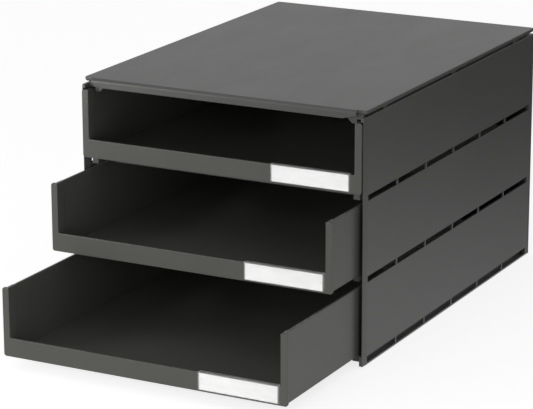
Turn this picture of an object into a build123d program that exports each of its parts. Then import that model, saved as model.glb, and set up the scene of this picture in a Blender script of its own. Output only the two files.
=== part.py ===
from build123d import *
import os

# A desk box for letter paper with three open-fronted trays that slide on the floors of its bays.
# The origin is on the table, under the centre of the housing. X points right, Y to the back and
# Z up. The upper tray stands closed, the middle one a little open and the lower one further open.

# ---------------------------------------------------------------- housing, in millimetres
HOUSING_WIDTH = 246.0           # over the outer faces of the side panels
HOUSING_DEPTH = 335.0           # front edges of the side panels to the face of the back panel
PANEL_THICKNESS = 3.0           # side panels and back panel
BAY_COUNT = 3
BAY_PITCH = 64.3                # from one bay to the next
TABLE_GAP = 1.0                 # side panels stand this far above the table, on the feet
PANEL_ABOVE_TRAY = 3.7          # side panels rise this far above the upper tray
PANEL_CORNER_RADIUS = 1.5
PANEL_EDGE_RADIUS = 0.4
FRONT_BEVEL_LENGTH = 7.0        # the outer face of a side panel leans in towards its front edge
FRONT_BEVEL_DROP = 0.35
SEAM_CHAMFER = 0.4              # groove where the side panels meet the back panel
FRONT_RELIEF_DEPTH = 6.0        # inner face slopes back from a thin front edge beside the trays
FRONT_RELIEF_SKIN = 0.5         # what the slope leaves of the front edge
FRONT_RELIEF_FIT = 0.5          # slope ends above the flange of the upper tray

# Slots through the side panels, in one row for each bay
SLOT_COUNT = 6
SLOT_HEIGHT = 5.2
SLOT_WEB = 2.0                  # plastic left between two slots
SLOT_FRONT_MARGIN = 8.0
SLOT_BACK_MARGIN = 5.0
SLOT_ABOVE_DATUM = 1.6          # a bay's datum is the height where its share of the panel starts
SLOT_SKIN = 1.2                 # panel thickness at the slots, in front of a groove inside
SLOT_GROOVE_DROP = 0.6          # groove below the lower edge of the slots

# Back panel
LOCATOR_THICKNESS = 2.0         # upright ribs that stand inside the side panels
LOCATOR_DEPTH = 5.0
LOCATOR_HEIGHT = 44.0
LOCATOR_ABOVE_FLOOR = 4.0
LOCATOR_FIT = 0.1               # rib to side panel

# ---------------------------------------------------------------- floors of the bays
FLOOR_THICKNESS = 2.0
FLOOR_ABOVE_DATUM = 4.6         # underside of the plate
FLOOR_RECESS = 18.0             # middle of the front edge, behind the side panels' front edges
FLOOR_FIT = 0.1                 # floor to side panel, on each side
FLOOR_BACK_FIT = 0.3            # floor to back panel
ARM_WIDTH = 15.0                # the floor comes forward beside each side panel
ARM_RECESS = 10.0
RUNNER_WIDTH = 4.5
RUNNER_HEIGHT = 1.5             # above the plate
RUNNER_SKIRT = 0.6              # below the plate
FRONT_RIB_DROP = 3.0
FRONT_RIB_THICKNESS = 2.0
TONGUE_REACH = 1.0              # tongues of the floor stand in the grooves behind the slots
TONGUE_THICKNESS = 0.8
TONGUE_TOP_FIT = 0.2
TONGUE_END_FIT = 0.4
STOP_WIDTH = 5.3                # lug at the front end of each runner that holds the tray back
STOP_LAP = 2.0                  # lug in front of the runner
STOP_RECESS = 5.2
STOP_LENGTH = 7.0
STOP_DROP = 2.4                 # below the plate

# Base only
SKIRT_THICKNESS = 2.0
SKIRT_INSET = 2.0               # from the edge of the base
SKIRT_FRONT_MARGIN = 14.0
SKIRT_TABLE_GAP = 1.6
GUTTER_THICKNESS = 0.8          # strip from the foot of the skirt out to the side panel
BOSS_RADIUS = 11.0
BOSS_TABLE_GAP = 1.4
FOOT_RADIUS = 8.0
FOOT_SEAT_DEPTH = 1.0
FOOT_SEAT_FIT = 0.2
FOOT_INSET_X = 28.0             # foot centre from the outside of the housing
FOOT_INSET_Y = 36.0
FOOT_EDGE_RADIUS = 0.5

# ---------------------------------------------------------------- trays
TRAY_SIDE_FIT = 1.4             # tray wall to side panel
TRAY_RUNNER_FIT = 0.3           # underside of the tray above the runners
TRAY_HEIGHT = 54.9
TRAY_BACK_FIT = 0.8             # closed tray to the locator ribs of the back panel
TRAY_WALL = 2.2
TRAY_FLOOR = 2.0
FLANGE_SIDE_RECESS = 1.2        # U-shaped front, edge to the outer face of the side panel
FLANGE_THICKNESS = 2.0
FLANGE_FIT = 0.2                # closed flange to the front edges of the side panels
FLANGE_BAND = 5.7               # face width of the uprights
LIP_HEIGHT = 14.9               # height of the flange below the opening
FLANGE_TOP_RADIUS = 2.2
FLANGE_BOTTOM_RADIUS = 2.0
FLANGE_INNER_RADIUS = 1.0
FLANGE_EDGE_RADIUS = 0.4
COLLAR_LENGTH = 8.0             # thicker wall behind the flange
CORNER_RADIUS = 3.0             # upright corners at the back of the tray
RIM_RADIUS = 0.6                # top edges of the walls
TRAVEL = 240.0                  # from closed to the stop
STOP_FIT = 0.3                  # tray heel to stop lug at full travel
HEEL_SIDE_FIT = 0.5             # tray heel to runner
HEEL_WIDTH = 3.8
HEEL_LENGTH = 4.0
HEEL_DROP = 1.4
OPENING_AT_REST = {"bottom": 120.0, "middle": 48.0, "top": 0.0}

# Label holders and their cards, on the right of each lip
HOLDER_WIDTH = 66.4
HOLDER_RIGHT_GAP = 0.3          # holder to the start of the fillet beside it
HOLDER_SHEET = 0.6
HOLDER_BOTTOM_GAP = 1.8         # above the lower edge of the lip
HOLDER_BACK_LEG = 6.0
HOLDER_FIT = 0.05
CARD_THICKNESS = 0.3
CARD_LEFT_MARGIN = 0.8
CARD_RIGHT_MARGIN = 1.0
CARD_TOP_MARGIN = 0.4
HOLDER_OFFSET = {"bottom": 0.0, "middle": 0.0, "top": -2.6}  # holders clip on along the lip

# ---------------------------------------------------------------- cover
COVER_GAP = 1.8                 # shadow gap between cover and panels
COVER_THICKNESS = 3.3
COVER_CORNER_RECESS = 4.4       # front edge of the plate beside the lip
COVER_LIP_RECESS = 1.5
COVER_LIP_HEIGHT = 7.1
COVER_LIP_SIDE_RECESS = 7.7     # end of the lip to the outer face of the side panel
COVER_LIP_LAP = 1.6             # lip into the plate behind it
COVER_LIP_SLOPE_LENGTH = 11.4   # the lower corners of the lip are cut off
COVER_LIP_END_DROP = 1.0        # end of the lip below the plate
COVER_ROLL_RADIUS = 2.6
COVER_PLAN_RADIUS = 2.0
COVER_TOP_RADIUS = 0.5
COVER_UNDERCUT = 1.0
COVER_RIB_THICKNESS = 2.0
COVER_RIB_FIT = 0.3             # rib to side panel
COVER_RIB_END_MARGIN = 14.0
COVER_RIB_TRAY_GAP = 1.1        # rib above the tray's walls
COVER_PAD_WIDTH = 1.6
COVER_PAD_LENGTH = 8.0
COVER_PAD_MARGIN = 40.0         # first and last pad from the ends of the housing
COVER_PAD_COUNT = 3
SHOULDER_DROP = 4.5             # blocks behind the ends of the lip, below the plate
LATCH_THICKNESS = 3.0           # lugs behind the lip keep the upper tray level
LATCH_WIDTH = 8.1
LATCH_TAPER = 3.8
LATCH_REACH = 2.4               # below the top of the upper tray
LATCH_SIDE_FIT = 2.0            # latch to the upright of the tray

# ---------------------------------------------------------------- places worked out from the above
BAY_NAMES = ["bottom", "middle", "top"]
front = -HOUSING_DEPTH / 2
back = HOUSING_DEPTH / 2
outer_x = HOUSING_WIDTH / 2
inner_x = outer_x - PANEL_THICKNESS
side_depth = HOUSING_DEPTH - PANEL_THICKNESS
bay_datum = [TABLE_GAP + bay * BAY_PITCH for bay in range(BAY_COUNT)]

floor_half = inner_x - FLOOR_FIT
floor_back = front + side_depth - FLOOR_BACK_FIT
runner_inner = floor_half - RUNNER_WIDTH
runner_top_above_datum = FLOOR_ABOVE_DATUM + FLOOR_THICKNESS + RUNNER_HEIGHT
tray_above_datum = runner_top_above_datum + TRAY_RUNNER_FIT

panel_top = bay_datum[-1] + tray_above_datum + TRAY_HEIGHT + PANEL_ABOVE_TRAY
panel_height = panel_top - TABLE_GAP
cover_bottom = panel_top + COVER_GAP
cover_top = cover_bottom + COVER_THICKNESS

relief_bottom = bay_datum[0] + tray_above_datum
relief_top = bay_datum[-1] + tray_above_datum + TRAY_HEIGHT + FRONT_RELIEF_FIT

slot_pitch = (side_depth - SLOT_FRONT_MARGIN - SLOT_BACK_MARGIN + SLOT_WEB) / SLOT_COUNT
slot_length = slot_pitch - SLOT_WEB
first_slot_y = front + SLOT_FRONT_MARGIN + slot_length / 2
slot_rows_y = [first_slot_y + index * slot_pitch for index in range(SLOT_COUNT)]

tray_outer = inner_x - TRAY_SIDE_FIT
tray_inner = tray_outer - TRAY_WALL
flange_half = outer_x - FLANGE_SIDE_RECESS
upright_inner = flange_half - FLANGE_BAND
flange_back = front - FLANGE_FIT
flange_front = flange_back - FLANGE_THICKNESS
tray_back = front + side_depth - LOCATOR_DEPTH - TRAY_BACK_FIT
stop_back = front + STOP_RECESS + STOP_LENGTH
stop_x = runner_inner + STOP_LAP - STOP_WIDTH / 2
heel_front = stop_back + STOP_FIT + TRAVEL
heel_x = runner_inner - HEEL_SIDE_FIT - HEEL_WIDTH / 2

holder_right = upright_inner - FLANGE_INNER_RADIUS - HOLDER_RIGHT_GAP
holder_left = holder_right - HOLDER_WIDTH
card_left = holder_left + CARD_LEFT_MARGIN
card_right = holder_right - CARD_RIGHT_MARGIN

skirt_x = floor_half - SKIRT_INSET - SKIRT_THICKNESS / 2
foot_x = outer_x - FOOT_INSET_X
foot_y = HOUSING_DEPTH / 2 - FOOT_INSET_Y
foot_top = BOSS_TABLE_GAP + FOOT_SEAT_DEPTH

sides = {"left": -1, "right": 1}
parts = []


def keep(piece, label):
    """Name a finished piece and put it on the list of pieces to write."""
    piece.part.label = label
    parts.append(piece.part)


# ---------------------------------------------------------------- side panels
for side_name, side in sides.items():
    with BuildPart() as side_panel:
        with BuildSketch(Plane.XY.offset(TABLE_GAP)):
            with BuildLine():
                Polyline(
                    (side * inner_x, front),
                    (side * (outer_x - FRONT_BEVEL_DROP), front),
                    (side * outer_x, front + FRONT_BEVEL_LENGTH),
                    (side * outer_x, front + side_depth - SEAM_CHAMFER),
                    (side * (outer_x - SEAM_CHAMFER), front + side_depth),
                    (side * inner_x, front + side_depth),
                    close=True,
                )
            make_face()
        extrude(amount=panel_height)
        front_corners = side_panel.edges().filter_by(Axis.X).group_by(Axis.Y)[0]
        fillet(front_corners, radius=PANEL_CORNER_RADIUS)
        front_edges = side_panel.edges().filter_by(Axis.Z).group_by(Axis.Y)[0]
        fillet(front_edges, radius=PANEL_EDGE_RADIUS)
        with BuildSketch(Plane.YZ.offset(side * outer_x)):
            for datum in bay_datum:
                with Locations([(y, datum + SLOT_ABOVE_DATUM + SLOT_HEIGHT / 2) for y in slot_rows_y]):
                    Rectangle(slot_length, SLOT_HEIGHT)
        extrude(amount=-side * PANEL_THICKNESS, mode=Mode.SUBTRACT)
        # Grooves inside, one behind each row of slots
        groove_depth = PANEL_THICKNESS - SLOT_SKIN
        groove_height = SLOT_HEIGHT + SLOT_GROOVE_DROP
        with BuildSketch(Plane.YZ.offset(side * inner_x)):
            for datum in bay_datum:
                groove_top = datum + SLOT_ABOVE_DATUM + SLOT_HEIGHT
                with Locations(((slot_rows_y[0] + slot_rows_y[-1]) / 2, groove_top - groove_height / 2)):
                    Rectangle(slot_rows_y[-1] - slot_rows_y[0] + slot_length, groove_height)
        extrude(amount=side * groove_depth, mode=Mode.SUBTRACT)
        # Slope inside the front edge
        with BuildSketch(Plane.XY.offset(relief_bottom)):
            with BuildLine():
                Polyline(
                    (side * inner_x, front),
                    (side * (outer_x - FRONT_BEVEL_DROP - FRONT_RELIEF_SKIN), front),
                    (side * inner_x, front + FRONT_RELIEF_DEPTH),
                    close=True,
                )
            make_face()
        extrude(amount=relief_top - relief_bottom, mode=Mode.SUBTRACT)
    keep(side_panel, "side_panel_" + side_name)

# ---------------------------------------------------------------- back panel
with BuildPart() as back_panel:
    with BuildSketch(Plane.XZ.offset(-back)):
        with Locations((0, TABLE_GAP + panel_height / 2)):
            Rectangle(HOUSING_WIDTH, panel_height)
    extrude(amount=PANEL_THICKNESS)
    back_edges = back_panel.edges().filter_by(Axis.Z)
    chamfer(back_edges.group_by(Axis.Y)[0], length=SEAM_CHAMFER)
    fillet(back_panel.edges().filter_by(Axis.Z).group_by(Axis.Y)[-1], radius=PANEL_EDGE_RADIUS)
    for datum in bay_datum:
        locator_bottom = datum + runner_top_above_datum + LOCATOR_ABOVE_FLOOR
        with BuildSketch(Plane.XY.offset(locator_bottom)):
            locator_x = inner_x - LOCATOR_FIT - LOCATOR_THICKNESS / 2
            locator_y = back - PANEL_THICKNESS - LOCATOR_DEPTH / 2
            with Locations([(side * locator_x, locator_y) for side in (-1, 1)]):
                Rectangle(LOCATOR_THICKNESS, LOCATOR_DEPTH)
        extrude(amount=LOCATOR_HEIGHT)
keep(back_panel, "back_panel")


# ---------------------------------------------------------------- floors of the bays
def build_floor(datum):
    """Plate with an arm forward beside each side panel, runners, stop lugs, front rib and tongues."""
    plate_bottom = datum + FLOOR_ABOVE_DATUM
    arm_inner = floor_half - ARM_WIDTH
    runner_length = floor_back - front - ARM_RECESS
    tongue_top = datum + SLOT_ABOVE_DATUM + SLOT_HEIGHT - TONGUE_TOP_FIT
    with BuildPart() as floor:
        with BuildSketch(Plane.XY.offset(plate_bottom)):
            with BuildLine():
                Polyline(
                    (-floor_half, front + ARM_RECESS),
                    (-arm_inner, front + ARM_RECESS),
                    (-arm_inner, front + FLOOR_RECESS),
                    (arm_inner, front + FLOOR_RECESS),
                    (arm_inner, front + ARM_RECESS),
                    (floor_half, front + ARM_RECESS),
                    (floor_half, floor_back),
                    (-floor_half, floor_back),
                    close=True,
                )
            make_face()
        extrude(amount=FLOOR_THICKNESS)
        for side in (-1, 1):
            with BuildSketch(Plane.XY.offset(plate_bottom - RUNNER_SKIRT)):
                with Locations((side * (floor_half - RUNNER_WIDTH / 2), floor_back - runner_length / 2)):
                    Rectangle(RUNNER_WIDTH, runner_length)
            extrude(amount=RUNNER_SKIRT + FLOOR_THICKNESS + RUNNER_HEIGHT)
            with BuildSketch(Plane.XY.offset(plate_bottom - STOP_DROP)):
                with Locations((side * stop_x, stop_back - STOP_LENGTH / 2)):
                    Rectangle(STOP_WIDTH, STOP_LENGTH)
            extrude(amount=STOP_DROP + FLOOR_THICKNESS + RUNNER_HEIGHT)
            with BuildSketch(Plane.XY.offset(tongue_top - TONGUE_THICKNESS)):
                with Locations([(side * (floor_half + TONGUE_REACH / 2), y) for y in slot_rows_y]):
                    Rectangle(TONGUE_REACH, slot_length - 2 * TONGUE_END_FIT)
            extrude(amount=TONGUE_THICKNESS)
        with BuildSketch(Plane.XY.offset(plate_bottom)):
            with Locations((0, front + FLOOR_RECESS + FRONT_RIB_THICKNESS / 2)):
                Rectangle(2 * arm_inner, FRONT_RIB_THICKNESS)
        extrude(amount=-FRONT_RIB_DROP)
    return floor


for datum, label in zip(bay_datum[1:], ["shelf_lower", "shelf_upper"]):
    keep(build_floor(datum), label)

base_floor = build_floor(bay_datum[0])
base_plate_bottom = bay_datum[0] + FLOOR_ABOVE_DATUM
skirt_length = floor_back - front - SKIRT_FRONT_MARGIN
with BuildPart() as base_panel:
    add(base_floor.part)
    with BuildSketch(Plane.XY.offset(base_plate_bottom)):
        with Locations([(side * skirt_x, floor_back - skirt_length / 2) for side in (-1, 1)]):
            Rectangle(SKIRT_THICKNESS, skirt_length)
    extrude(amount=SKIRT_TABLE_GAP - base_plate_bottom)
    gutter_width = SKIRT_INSET + SKIRT_THICKNESS
    with BuildSketch(Plane.XY.offset(SKIRT_TABLE_GAP)):
        gutter_x = floor_half - gutter_width / 2
        with Locations([(side * gutter_x, floor_back - skirt_length / 2) for side in (-1, 1)]):
            Rectangle(gutter_width, skirt_length)
    extrude(amount=GUTTER_THICKNESS)
    with BuildSketch(Plane.XY.offset(base_plate_bottom)):
        with GridLocations(2 * foot_x, 2 * foot_y, 2, 2):
            Circle(BOSS_RADIUS)
    extrude(amount=BOSS_TABLE_GAP - base_plate_bottom)
    with BuildSketch(Plane.XY.offset(BOSS_TABLE_GAP)):
        with GridLocations(2 * foot_x, 2 * foot_y, 2, 2):
            Circle(FOOT_RADIUS + FOOT_SEAT_FIT)
    extrude(amount=FOOT_SEAT_DEPTH, mode=Mode.SUBTRACT)
keep(base_panel, "base_panel")

# ---------------------------------------------------------------- feet
for end_name, end in {"front": -1, "back": 1}.items():
    for side_name, side in sides.items():
        with BuildPart() as foot:
            with BuildSketch():
                with Locations((side * foot_x, end * foot_y)):
                    Circle(FOOT_RADIUS)
            extrude(amount=foot_top)
            fillet(foot.edges().group_by(Axis.Z)[0], radius=FOOT_EDGE_RADIUS)
        keep(foot, "foot_" + end_name + "_" + side_name)

# ---------------------------------------------------------------- cover
latch_outer = upright_inner - LATCH_SIDE_FIT
latch_inner = latch_outer - LATCH_WIDTH
latch_bottom = panel_top - PANEL_ABOVE_TRAY - LATCH_REACH
lip_bottom = cover_top - COVER_LIP_HEIGHT
lip_half = outer_x - COVER_LIP_SIDE_RECESS
latch_root = cover_bottom + COVER_UNDERCUT

with BuildPart() as top_cover:
    plate_length = HOUSING_DEPTH - COVER_CORNER_RECESS
    with BuildSketch(Plane.XY.offset(cover_bottom)):
        with Locations((0, back - plate_length / 2)):
            RectangleRounded(HOUSING_WIDTH, plate_length, COVER_PLAN_RADIUS)
    extrude(amount=COVER_THICKNESS)
    chamfer(top_cover.edges().group_by(Axis.Z)[0], length=COVER_UNDERCUT)
    fillet(top_cover.edges().group_by(Axis.Z)[-1], radius=COVER_TOP_RADIUS)
    # Lip along the front, rolled over at the top
    with BuildSketch(Plane.YZ.offset(-lip_half)):
        lip_front = front + COVER_LIP_RECESS
        lip_back = front + COVER_CORNER_RECESS + COVER_LIP_LAP
        with BuildLine():
            top_line = Line((lip_back, cover_top), (lip_front + COVER_ROLL_RADIUS, cover_top))
            roll = RadiusArc(
                top_line @ 1, (lip_front, cover_top - COVER_ROLL_RADIUS), -COVER_ROLL_RADIUS
            )
            Polyline(roll @ 1, (lip_front, lip_bottom), (lip_back, lip_bottom), top_line @ 0)
        make_face()
    extrude(amount=2 * lip_half)
    for side in (-1, 1):
        with BuildSketch(Plane.XZ.offset(-lip_front)):
            with BuildLine():
                Polyline(
                    (side * lip_half, lip_bottom),
                    (side * lip_half, cover_bottom - COVER_LIP_END_DROP),
                    (side * (lip_half - COVER_LIP_SLOPE_LENGTH), lip_bottom),
                    close=True,
                )
            make_face()
        extrude(amount=lip_front - lip_back, mode=Mode.SUBTRACT)
    # Lugs behind the ends of the lip
    for side in (-1, 1):
        with BuildSketch(Plane.XZ.offset(-lip_back)):
            with BuildLine():
                Polyline(
                    (side * latch_outer, latch_root),
                    (side * latch_outer, latch_bottom),
                    (side * (latch_inner + LATCH_TAPER), latch_bottom),
                    (side * latch_inner, lip_bottom),
                    (side * latch_inner, latch_root),
                    close=True,
                )
            make_face()
        extrude(amount=-LATCH_THICKNESS)
    # Shoulders from the lugs out to the side panels
    shoulder_half = inner_x - COVER_RIB_FIT
    shoulder_y = lip_back + LATCH_THICKNESS / 2
    with BuildSketch(Plane.XY.offset(cover_bottom - SHOULDER_DROP)):
        with Locations([(side * (latch_outer + shoulder_half) / 2, shoulder_y) for side in (-1, 1)]):
            Rectangle(shoulder_half - latch_outer, LATCH_THICKNESS)
    extrude(amount=SHOULDER_DROP + COVER_UNDERCUT)
    # Ribs inside the side panels and pads on their top edges
    rib_bottom = panel_top - PANEL_ABOVE_TRAY + COVER_RIB_TRAY_GAP
    rib_x = inner_x - COVER_RIB_FIT - COVER_RIB_THICKNESS / 2
    with BuildSketch(Plane.XY.offset(cover_bottom)):
        with Locations([(side * rib_x, 0) for side in (-1, 1)]):
            Rectangle(COVER_RIB_THICKNESS, HOUSING_DEPTH - 2 * COVER_RIB_END_MARGIN)
    extrude(amount=rib_bottom - cover_bottom)
    pad_pitch = (HOUSING_DEPTH - 2 * COVER_PAD_MARGIN) / (COVER_PAD_COUNT - 1)
    with BuildSketch(Plane.XY.offset(cover_bottom)):
        with GridLocations(2 * (inner_x + COVER_PAD_WIDTH / 2), pad_pitch, 2, COVER_PAD_COUNT):
            Rectangle(COVER_PAD_WIDTH, COVER_PAD_LENGTH)
    extrude(amount=-COVER_GAP)
keep(top_cover, "top_cover")

# ---------------------------------------------------------------- trays with their label holders
for datum, name in zip(bay_datum, BAY_NAMES):
    shift = -OPENING_AT_REST[name]          # an open tray stands this far from its closed place
    tray_bottom = datum + tray_above_datum
    tray_top = tray_bottom + TRAY_HEIGHT
    lip_top = tray_bottom + LIP_HEIGHT
    body_length = tray_back - flange_back
    body_centre = (0, (tray_back + flange_back) / 2 + shift)
    inside_centre = (0, (tray_back + flange_back - TRAY_WALL) / 2 + shift)

    with BuildPart() as tray:
        # Two side walls and a back wall, open at the front
        with BuildSketch(Plane.XY.offset(tray_bottom)):
            with Locations(body_centre):
                walls = Rectangle(2 * tray_outer, body_length)
            fillet(walls.vertices().group_by(Axis.Y)[-1], radius=CORNER_RADIUS)
            with Locations(inside_centre):
                Rectangle(2 * tray_inner, body_length - TRAY_WALL, mode=Mode.SUBTRACT)
        extrude(amount=TRAY_HEIGHT)
        rim_edges = tray.edges().group_by(Axis.Z)[-1].group_by(Axis.Y)[1:]
        fillet([edge for group in rim_edges for edge in group], radius=RIM_RADIUS)
        with BuildSketch(Plane.XY.offset(tray_bottom)):
            with Locations(inside_centre):
                Rectangle(2 * tray_inner, body_length - TRAY_WALL)
        extrude(amount=TRAY_FLOOR)
        # Thicker walls just behind the flange
        collar_centre = flange_back + COLLAR_LENGTH / 2 + shift
        collar_width = tray_outer - upright_inner
        with BuildSketch(Plane.XY.offset(tray_bottom)):
            with Locations([(side * (tray_outer - collar_width / 2), collar_centre) for side in (-1, 1)]):
                Rectangle(collar_width, COLLAR_LENGTH)
        extrude(amount=TRAY_HEIGHT)
        # U-shaped flange
        with BuildSketch(Plane.XZ.offset(-(flange_back + shift))):
            with Locations((0, tray_bottom + TRAY_HEIGHT / 2)):
                outline = Rectangle(2 * flange_half, TRAY_HEIGHT)
            fillet(outline.vertices().group_by(Axis.Z)[0], radius=FLANGE_BOTTOM_RADIUS)
            fillet(outline.vertices().group_by(Axis.Z)[-1], radius=FLANGE_TOP_RADIUS)
        extrude(amount=FLANGE_THICKNESS)
        with BuildSketch(Plane.XZ.offset(-(flange_back + shift))):
            opening_height = TRAY_HEIGHT - LIP_HEIGHT + FLANGE_INNER_RADIUS
            with Locations((0, lip_top + opening_height / 2)):
                opening = Rectangle(2 * upright_inner, opening_height)
            fillet(opening.vertices().group_by(Axis.Z)[0], radius=FLANGE_INNER_RADIUS)
        extrude(amount=FLANGE_THICKNESS, mode=Mode.SUBTRACT)
        fillet(tray.faces().sort_by(Axis.Y)[0].edges(), radius=FLANGE_EDGE_RADIUS)
        # Heels that meet the stop lugs
        with BuildSketch(Plane.XY.offset(tray_bottom)):
            with Locations([(side * heel_x, heel_front + HEEL_LENGTH / 2 + shift) for side in (-1, 1)]):
                Rectangle(HEEL_WIDTH, HEEL_LENGTH)
        extrude(amount=-HEEL_DROP)
    keep(tray, "tray_" + name)

    holder_start = holder_left + HOLDER_OFFSET[name]
    card_centre = (card_left + card_right) / 2 + HOLDER_OFFSET[name]
    holder_bottom = tray_bottom + HOLDER_BOTTOM_GAP
    holder_front = flange_front - CARD_THICKNESS - 2 * HOLDER_FIT - HOLDER_SHEET + shift
    holder_back = flange_back + HOLDER_FIT + HOLDER_SHEET + shift
    with BuildPart() as label_holder:
        with BuildSketch(Plane.YZ.offset(holder_start)):
            holder_top = lip_top + HOLDER_FIT + HOLDER_SHEET
            with BuildLine():
                Polyline(
                    (holder_front, holder_bottom),
                    (holder_front, holder_top),
                    (holder_back, holder_top),
                    (holder_back, lip_top - HOLDER_BACK_LEG),
                    (holder_back - HOLDER_SHEET, lip_top - HOLDER_BACK_LEG),
                    (holder_back - HOLDER_SHEET, lip_top + HOLDER_FIT),
                    (holder_front + HOLDER_SHEET, lip_top + HOLDER_FIT),
                    (holder_front + HOLDER_SHEET, holder_bottom),
                    close=True,
                )
            make_face()
        extrude(amount=HOLDER_WIDTH)
    keep(label_holder, "label_holder_" + name)

    card_height = LIP_HEIGHT - HOLDER_BOTTOM_GAP - CARD_TOP_MARGIN
    with BuildPart() as label_card:
        with BuildSketch(Plane.XZ.offset(-(flange_front - HOLDER_FIT + shift))):
            with Locations((card_centre, holder_bottom + card_height / 2)):
                Rectangle(card_right - card_left, card_height)
        extrude(amount=CARD_THICKNESS)
    keep(label_card, "label_card_" + name)

os.makedirs("parts", exist_ok=True)
for part in parts:
    export_step(part, "parts/" + part.label + ".step")
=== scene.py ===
import math

import bpy
from mathutils import Matrix, Vector

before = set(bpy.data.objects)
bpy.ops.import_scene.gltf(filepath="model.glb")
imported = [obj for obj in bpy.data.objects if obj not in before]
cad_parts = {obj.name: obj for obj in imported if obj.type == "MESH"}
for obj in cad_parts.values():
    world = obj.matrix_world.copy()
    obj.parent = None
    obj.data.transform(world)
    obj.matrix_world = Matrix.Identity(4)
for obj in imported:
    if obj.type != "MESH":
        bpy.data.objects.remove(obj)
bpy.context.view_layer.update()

# ---------------------------------------------------------------- camera
# Places are in metres, the roll is in degrees, and the lens and the sensor are in millimetres.
CAMERA_PLACE = Vector((0.9124, -1.8227, 0.6591))
CAMERA_AIM = Vector((0.0, -0.0901, 0.0945))
CAMERA_ROLL = -0.13
CAMERA_LENS = 172.0
CAMERA_SENSOR = 36.0
CAMERA_FAR = 50.0

# ---------------------------------------------------------------- lights and surroundings
WHITE = (1.0, 1.0, 1.0, 1.0)
AMBIENT = 0.42                  # strength of the light from all round
BACKDROP_SEEN = 1.0             # how white the backdrop is in view and through the clear sheets
BACKDROP_MIRRORED = 0.54        # how white it is in reflections
LAMP_AIM = Vector((0.0, -0.05, 0.1))
SOFTBOXES = {
    "softbox_front": {"place": (0.1, -1.5, 0.5), "size": 0.7, "watts": 3.0},
    "softbox_left_low": {"place": (-0.6, -0.8, 0.2), "size": 0.25, "watts": 2.0},
    "softbox_right_low": {"place": (0.6, -0.5, 0.12), "size": 0.2, "watts": 0.3},
}
FLOOR_SIZE = 8.0
FLOOR_COLOUR = (0.85, 0.85, 0.85)
FLOOR_SHADED = 0.55             # the part of the floor's white that shadows darken
FLOOR_GLOW = 0.78               # the part that is the same everywhere
FLOOR_REFLECTION_GLOW = 0.61           # strength of a glowing pool on the floor that only reflections see, brightest near the object: a painted reflection
FLOOR_POOL_CENTRE = (0.1, -0.2)
FLOOR_POOL_RADIUS = 0.45        # the painted reflection's glow fades over this distance

# ---------------------------------------------------------------- colours
HOUSING_COLOUR = (0.102, 0.103, 0.099)
TRAY_COLOUR = (0.107, 0.108, 0.098)
CARD_COLOUR = (0.86, 0.86, 0.85)
CLEAR_COLOUR = (0.985, 0.985, 0.985)
CLOUDY_COLOUR = (0.92, 0.92, 0.93)
CLOUDY_SHARE = 0.14             # how milky the clear sheet is
RUBBER_COLOUR = (0.022, 0.022, 0.022)

# ---------------------------------------------------------------- surface patterns
# A scale counts a pattern's cells per metre. A span is the pair of pattern values between which a
# look fades from its first value to its second. Relief is in metres.
SPAN = (0.3, 0.7)
WIDE_SPAN = (0.25, 0.75)
FADE = (0.0, 1.0)

GRAIN = {"scale": 3200, "detail": 3, "roughness": 0.6}
GRAIN_RELIEF = {"distance": 0.00004, "strength": 0.55}
FLOW = {"scale": 9, "detail": 3, "roughness": 0.55}
FLOW_RELIEF = {"distance": 0.0006, "strength": 0.35}
FLOW_SHADES = (0.94, 1.06)
SPECKLE = {"scale": 1400, "detail": 2, "roughness": 0.7}
SPECKLE_SPAN = (0.35, 0.65)
SPECKLE_SHARE = (0.0, 0.35)
SPECKLE_SHADE = 1.25
RUBS = {"scale": 34, "detail": 5, "roughness": 0.65}
RUBS_STRETCH = (1.0, 0.35, 1.0)
PLASTIC_ROUGHNESS = (0.33, 0.27)
TRAY_ROUGHER = 0.02             # the trays are that much rougher than the housing

EDGE_RADIUS = 0.0006            # how round each edge looks
EDGE_SAMPLES = 4
EDGE_SPAN = (0.995, 0.86)       # cosines of a surface's tilt, where an edge begins and is full
EDGE_WEAR_AND_HIGHLIGHT = (0.35, 1.0)         # how strongly an edge is lightened where it is rubbed least and most; the lightening is partly wear, partly a painted highlight
EDGE_WEAR_AND_HIGHLIGHT_SHARE = 0.45               # how much of the lighter shade shows on a full edge: partly burnished wear, partly a painted highlight
EDGE_WEAR_AND_HIGHLIGHT_SHADE = 1.9
WORN_SMOOTHER = 0.08            # how much less rough a worn edge is

SHEET_INDEX = 1.5
SHEET_RUBS = {"scale": 160, "detail": 4, "roughness": 0.7}
SHEET_STRETCH = (0.2, 1.0, 1.0)
SHEET_SPAN = (0.35, 0.75)
SHEET_ROUGHNESS = (0.03, 0.10)
SHEET_CLOUDS = (0.8 * CLOUDY_SHARE, 1.2 * CLOUDY_SHARE)
SHEET_WAVES = {"scale": 70, "detail": 1, "roughness": 0.5}
SHEET_RELIEF = {"distance": 0.0001, "strength": 0.2}

FIBRES = {"scale": 900, "detail": 4, "roughness": 0.7}
FIBRE_STRETCH = (0.35, 1.0, 1.0)
FIBRE_SHADE = 0.965
FIBRE_RELIEF = {"distance": 0.00005, "strength": 0.4}
CARD_ROUGHNESS = (0.85, 0.72)

DUST = {"scale": 400, "detail": 4, "roughness": 0.7}
DUST_SPAN = (0.45, 0.75)
DUST_SHARE = (0.0, 0.5)
DUST_SHADE = 3.0
DUST_RELIEF = {"distance": 0.0001, "strength": 0.5}
RUBBER_ROUGHNESS = (0.78, 0.9)


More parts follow.
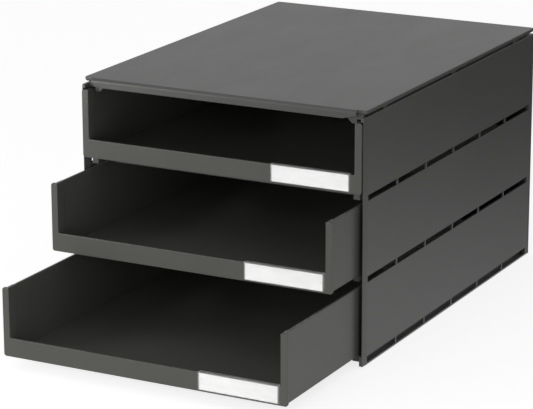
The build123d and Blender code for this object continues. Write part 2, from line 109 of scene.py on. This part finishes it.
# ---------------------------------------------------------------- node helpers
class Tree:
    """A material's node tree, with short calls for the nodes that the materials here use."""

    def __init__(self, name):
        self.material = bpy.data.materials.new(name)
        self.material.use_nodes = True
        self.tree = self.material.node_tree
        self.tree.nodes.clear()
        self.output = self.tree.nodes.new("ShaderNodeOutputMaterial")
        self.place = self.node("ShaderNodeTexCoord").outputs["Object"]

    def node(self, kind, **settings):
        made = self.tree.nodes.new(kind)
        for key, value in settings.items():
            setattr(made, key, value)
        return made

    def link(self, source, target):
        self.tree.links.new(source, target)

    def feed(self, target, value):
        """Link value if it is a socket, and otherwise set it."""
        if isinstance(value, bpy.types.NodeSocket):
            self.link(value, target)
        else:
            target.default_value = value

    def maths(self, operation, first, second=0.0, clamp=False):
        made = self.node("ShaderNodeMath", operation=operation, use_clamp=clamp)
        self.feed(made.inputs[0], first)
        self.feed(made.inputs[1], second)
        return made.outputs[0]

    def stretched(self, scale):
        made = self.node("ShaderNodeMapping")
        self.link(self.place, made.inputs["Vector"])
        made.inputs["Scale"].default_value = scale
        return made.outputs[0]

    def noise(self, scale, detail, roughness, place=None):
        made = self.node("ShaderNodeTexNoise")
        self.link(place or self.place, made.inputs["Vector"])
        made.inputs["Scale"].default_value = scale
        made.inputs["Detail"].default_value = detail
        made.inputs["Roughness"].default_value = roughness
        return made.outputs["Fac"]

    def spread(self, value, span, results):
        """Map the span's two values to the two results, and what lies beyond to the nearer one."""
        made = self.node("ShaderNodeMapRange")
        self.link(value, made.inputs["Value"])
        made.inputs["From Min"].default_value, made.inputs["From Max"].default_value = span
        made.inputs["To Min"].default_value, made.inputs["To Max"].default_value = results
        return made.outputs[0]

    def mix(self, factor, first, second):
        made = self.node("ShaderNodeMix", data_type="RGBA")
        self.feed(made.inputs["Factor"], factor)
        for socket, value in ((made.inputs["A"], first), (made.inputs["B"], second)):
            if not isinstance(value, bpy.types.NodeSocket):
                value = (*value, 1.0)
            self.feed(socket, value)
        return made.outputs["Result"]

    def mix_shaders(self, factor, first, second):
        made = self.node("ShaderNodeMixShader")
        for socket, value in zip(made.inputs, (factor, first, second)):
            self.link(value, socket)
        return made.outputs[0]

    def bump(self, height, distance, strength, normal=None):
        made = self.node("ShaderNodeBump")
        self.link(height, made.inputs["Height"])
        made.inputs["Distance"].default_value = distance
        made.inputs["Strength"].default_value = strength
        if normal:
            self.link(normal, made.inputs["Normal"])
        return made.outputs[0]

    def finished(self, surface):
        """Show a shader on the surface, and give the material back."""
        self.link(surface, self.output.inputs["Surface"])
        return self.material


def shade(colour, amount):
    """The same colour, lighter or darker by a factor."""
    return tuple(channel * amount for channel in colour)


# ---------------------------------------------------------------- materials
def satin_plastic(name, colour, rougher=0.0):
    """Moulded plastic with a spark-eroded grain, faint flow clouds, rubs and lighter edges that are
    partly burnished wear, partly a painted highlight.
    """
    t = Tree(name)
    shader = t.node("ShaderNodeBsdfPrincipled")
    grain = t.noise(**GRAIN)
    flow = t.noise(**FLOW)
    speckle = t.noise(**SPECKLE)
    rubs = t.noise(**RUBS, place=t.stretched(RUBS_STRETCH))

    bevel = t.node("ShaderNodeBevel", samples=EDGE_SAMPLES)
    bevel.inputs["Radius"].default_value = EDGE_RADIUS
    geometry = t.node("ShaderNodeNewGeometry")
    agree = t.node("ShaderNodeVectorMath", operation="DOT_PRODUCT")
    t.link(bevel.outputs[0], agree.inputs[0])
    t.link(geometry.outputs["True Normal"], agree.inputs[1])
    edge = t.spread(agree.outputs["Value"], EDGE_SPAN, FADE)
    # Edge mask for the lighter edges: partly wear, partly a painted highlight.
    worn_and_highlit = t.maths("MULTIPLY", edge, t.spread(rubs, SPAN, EDGE_WEAR_AND_HIGHLIGHT))

    darkest, palest = (shade(colour, amount) for amount in FLOW_SHADES)
    tone = t.mix(t.spread(flow, SPAN, FADE), darkest, palest)
    speckled = t.spread(speckle, SPECKLE_SPAN, SPECKLE_SHARE)
    dotted = t.mix(speckled, tone, shade(colour, SPECKLE_SHADE))
    # Lighter edges: partly burnished wear, partly a painted highlight along each edge.
    wear_and_highlight = t.maths("MULTIPLY", worn_and_highlit, EDGE_WEAR_AND_HIGHLIGHT_SHARE)
    t.link(t.mix(wear_and_highlight, dotted, shade(colour, EDGE_WEAR_AND_HIGHLIGHT_SHADE)), shader.inputs["Base Color"])

    rough = t.spread(rubs, WIDE_SPAN, [level + rougher for level in PLASTIC_ROUGHNESS])
    smoother = t.maths("MULTIPLY", worn_and_highlit, WORN_SMOOTHER)
    t.link(t.maths("SUBTRACT", rough, smoother), shader.inputs["Roughness"])
    waves = t.bump(flow, **FLOW_RELIEF, normal=bevel.outputs[0])
    t.link(t.bump(grain, **GRAIN_RELIEF, normal=waves), shader.inputs["Normal"])
    return t.finished(shader.outputs[0])


def clear_plastic(name):
    """Clear, slightly milky plastic sheet with faint rubs. Light passes it to the card behind."""
    t = Tree(name)
    shader = t.node("ShaderNodeBsdfPrincipled")
    shader.inputs["Base Color"].default_value = (*CLEAR_COLOUR, 1.0)
    shader.inputs["Transmission Weight"].default_value = 1.0
    shader.inputs["IOR"].default_value = SHEET_INDEX
    rubs = t.noise(**SHEET_RUBS, place=t.stretched(SHEET_STRETCH))
    t.link(t.spread(rubs, SHEET_SPAN, SHEET_ROUGHNESS), shader.inputs["Roughness"])
    t.link(t.bump(t.noise(**SHEET_WAVES), **SHEET_RELIEF), shader.inputs["Normal"])
    cloud = t.node("ShaderNodeBsdfDiffuse")
    cloud.inputs["Color"].default_value = (*CLOUDY_COLOUR, 1.0)
    milky = t.spread(rubs, SPAN, SHEET_CLOUDS)
    sheet = t.mix_shaders(milky, shader.outputs[0], cloud.outputs[0])
    window = t.node("ShaderNodeBsdfTransparent")
    window.inputs["Color"].default_value = (*CLEAR_COLOUR, 1.0)
    shadow_ray = t.node("ShaderNodeLightPath").outputs["Is Shadow Ray"]
    return t.finished(t.mix_shaders(shadow_ray, sheet, window.outputs[0]))


def card_paper(name):
    """Smooth white card with a fibre texture."""
    t = Tree(name)
    shader = t.node("ShaderNodeBsdfPrincipled")
    fibres = t.noise(**FIBRES, place=t.stretched(FIBRE_STRETCH))
    tone = t.mix(t.spread(fibres, SPAN, FADE), shade(CARD_COLOUR, FIBRE_SHADE), CARD_COLOUR)
    t.link(tone, shader.inputs["Base Color"])
    t.link(t.spread(fibres, SPAN, CARD_ROUGHNESS), shader.inputs["Roughness"])
    t.link(t.bump(fibres, **FIBRE_RELIEF), shader.inputs["Normal"])
    return t.finished(shader.outputs[0])


def foot_rubber(name):
    """Soft matt rubber with patches of dust."""
    t = Tree(name)
    shader = t.node("ShaderNodeBsdfPrincipled")
    dust = t.noise(**DUST)
    dusty = t.spread(dust, DUST_SPAN, DUST_SHARE)
    tone = t.mix(dusty, RUBBER_COLOUR, shade(RUBBER_COLOUR, DUST_SHADE))
    t.link(tone, shader.inputs["Base Color"])
    t.link(t.spread(dust, SPAN, RUBBER_ROUGHNESS), shader.inputs["Roughness"])
    t.link(t.bump(dust, **DUST_RELIEF), shader.inputs["Normal"])
    return t.finished(shader.outputs[0])


def dress(names, material):
    """Give CAD nodes a material."""
    for name in names:
        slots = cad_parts[name].data.materials
        slots.clear()
        slots.append(material)


bay_names = ("bottom", "middle", "top")
feet = [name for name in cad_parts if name.startswith("foot_")]
trays = ["tray_" + bay for bay in bay_names]
holders = ["label_holder_" + bay for bay in bay_names]
cards = ["label_card_" + bay for bay in bay_names]
shells = [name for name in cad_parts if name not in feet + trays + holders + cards]

dress(shells, satin_plastic("housing_satin", HOUSING_COLOUR))
dress(trays, satin_plastic("tray_satin", TRAY_COLOUR, TRAY_ROUGHER))
dress(holders, clear_plastic("clear_sheet"))
dress(cards, card_paper("white_card"))
dress(feet, foot_rubber("black_rubber"))


# ---------------------------------------------------------------- floor, world, lamps, camera
def white_floor():
    """A pale floor that looks white and keeps the object's shadow; in reflections it glows as a
    painted pool of light that fades away from the object.
    """
    bpy.ops.mesh.primitive_plane_add(size=FLOOR_SIZE)
    floor = bpy.context.object
    floor.name = "studio_floor"
    t = Tree("studio_floor")
    plain = t.node("ShaderNodeBsdfDiffuse")
    plain.inputs["Color"].default_value = (*FLOOR_COLOUR, 1.0)
    shaded = t.node("ShaderNodeBsdfDiffuse")
    shaded.inputs["Color"].default_value = (FLOOR_SHADED, FLOOR_SHADED, FLOOR_SHADED, 1.0)
    glow = t.node("ShaderNodeEmission")
    glow.inputs["Strength"].default_value = FLOOR_GLOW
    watched = t.node("ShaderNodeAddShader")
    t.link(shaded.outputs[0], watched.inputs[0])
    t.link(glow.outputs[0], watched.inputs[1])

    place = t.node("ShaderNodeSeparateXYZ")
    t.link(t.place, place.inputs[0])
    across = t.maths("SUBTRACT", place.outputs["X"], FLOOR_POOL_CENTRE[0])
    along = t.maths("SUBTRACT", place.outputs["Y"], FLOOR_POOL_CENTRE[1])
    squared = t.maths("ADD", t.maths("MULTIPLY", across, across), t.maths("MULTIPLY", along, along))
    fade = t.maths("EXPONENT", t.maths("MULTIPLY", squared, -0.5 / FLOOR_POOL_RADIUS**2))
    # Painted reflection: for reflected rays the floor glows, brightest near the object.
    mirrored = t.node("ShaderNodeEmission")
    t.link(t.maths("MULTIPLY", fade, FLOOR_REFLECTION_GLOW), mirrored.inputs["Strength"])

    path = t.node("ShaderNodeLightPath")
    in_view = t.maths("MAXIMUM", path.outputs["Is Camera Ray"], path.outputs["Is Transmission Ray"])
    only_glossy = t.maths("SUBTRACT", path.outputs["Is Glossy Ray"], in_view, clamp=True)
    direct = t.mix_shaders(in_view, plain.outputs[0], watched.outputs[0])
    choice = t.mix_shaders(only_glossy, direct, mirrored.outputs[0])
    floor.data.materials.append(t.finished(choice))


def studio_world():
    """Faint light from all round, and a white backdrop wherever it is seen or mirrored."""
    world = bpy.data.worlds.new("studio")
    bpy.context.scene.world = world
    world.use_nodes = True
    nodes, links = world.node_tree.nodes, world.node_tree.links
    nodes.clear()
    output = nodes.new("ShaderNodeOutputWorld")
    path = nodes.new("ShaderNodeLightPath")
    strengths = (
        ("Is Glossy Ray", BACKDROP_MIRRORED),
        ("Is Transmission Ray", BACKDROP_SEEN),
        ("Is Camera Ray", BACKDROP_SEEN),
    )
    shown = nodes.new("ShaderNodeBackground")
    shown.inputs["Strength"].default_value = AMBIENT
    for ray, strength in strengths:
        backdrop = nodes.new("ShaderNodeBackground")
        backdrop.inputs["Color"].default_value = WHITE
        backdrop.inputs["Strength"].default_value = strength
        choice = nodes.new("ShaderNodeMixShader")
        links.new(path.outputs[ray], choice.inputs[0])
        links.new(shown.outputs[0], choice.inputs[1])
        links.new(backdrop.outputs[0], choice.inputs[2])
        shown = choice
    links.new(shown.outputs[0], output.inputs["Surface"])


def softbox(name, place, size, watts):
    """A square area lamp that points at the object."""
    data = bpy.data.lights.new(name, "AREA")
    data.size = size
    data.energy = watts
    lamp = bpy.data.objects.new(name, data)
    lamp.location = place
    lamp.rotation_mode = "QUATERNION"
    lamp.rotation_quaternion = (LAMP_AIM - Vector(place)).to_track_quat("-Z", "Y")
    bpy.context.scene.collection.objects.link(lamp)


def photo_camera():
    """The camera of the photograph."""
    data = bpy.data.cameras.new("camera")
    data.lens = CAMERA_LENS
    data.sensor_width = CAMERA_SENSOR
    data.clip_end = CAMERA_FAR
    camera = bpy.data.objects.new("camera", data)
    aim = (CAMERA_AIM - CAMERA_PLACE).to_track_quat("-Z", "Y").to_matrix().to_4x4()
    roll = Matrix.Rotation(math.radians(CAMERA_ROLL), 4, "Z")
    camera.matrix_world = Matrix.Translation(CAMERA_PLACE) @ aim @ roll
    bpy.context.scene.collection.objects.link(camera)
    bpy.context.scene.camera = camera


white_floor()
studio_world()
for box_name, box in SOFTBOXES.items():
    softbox(box_name, **box)
photo_camera()
bpy.context.scene.view_settings.view_transform = "Standard"
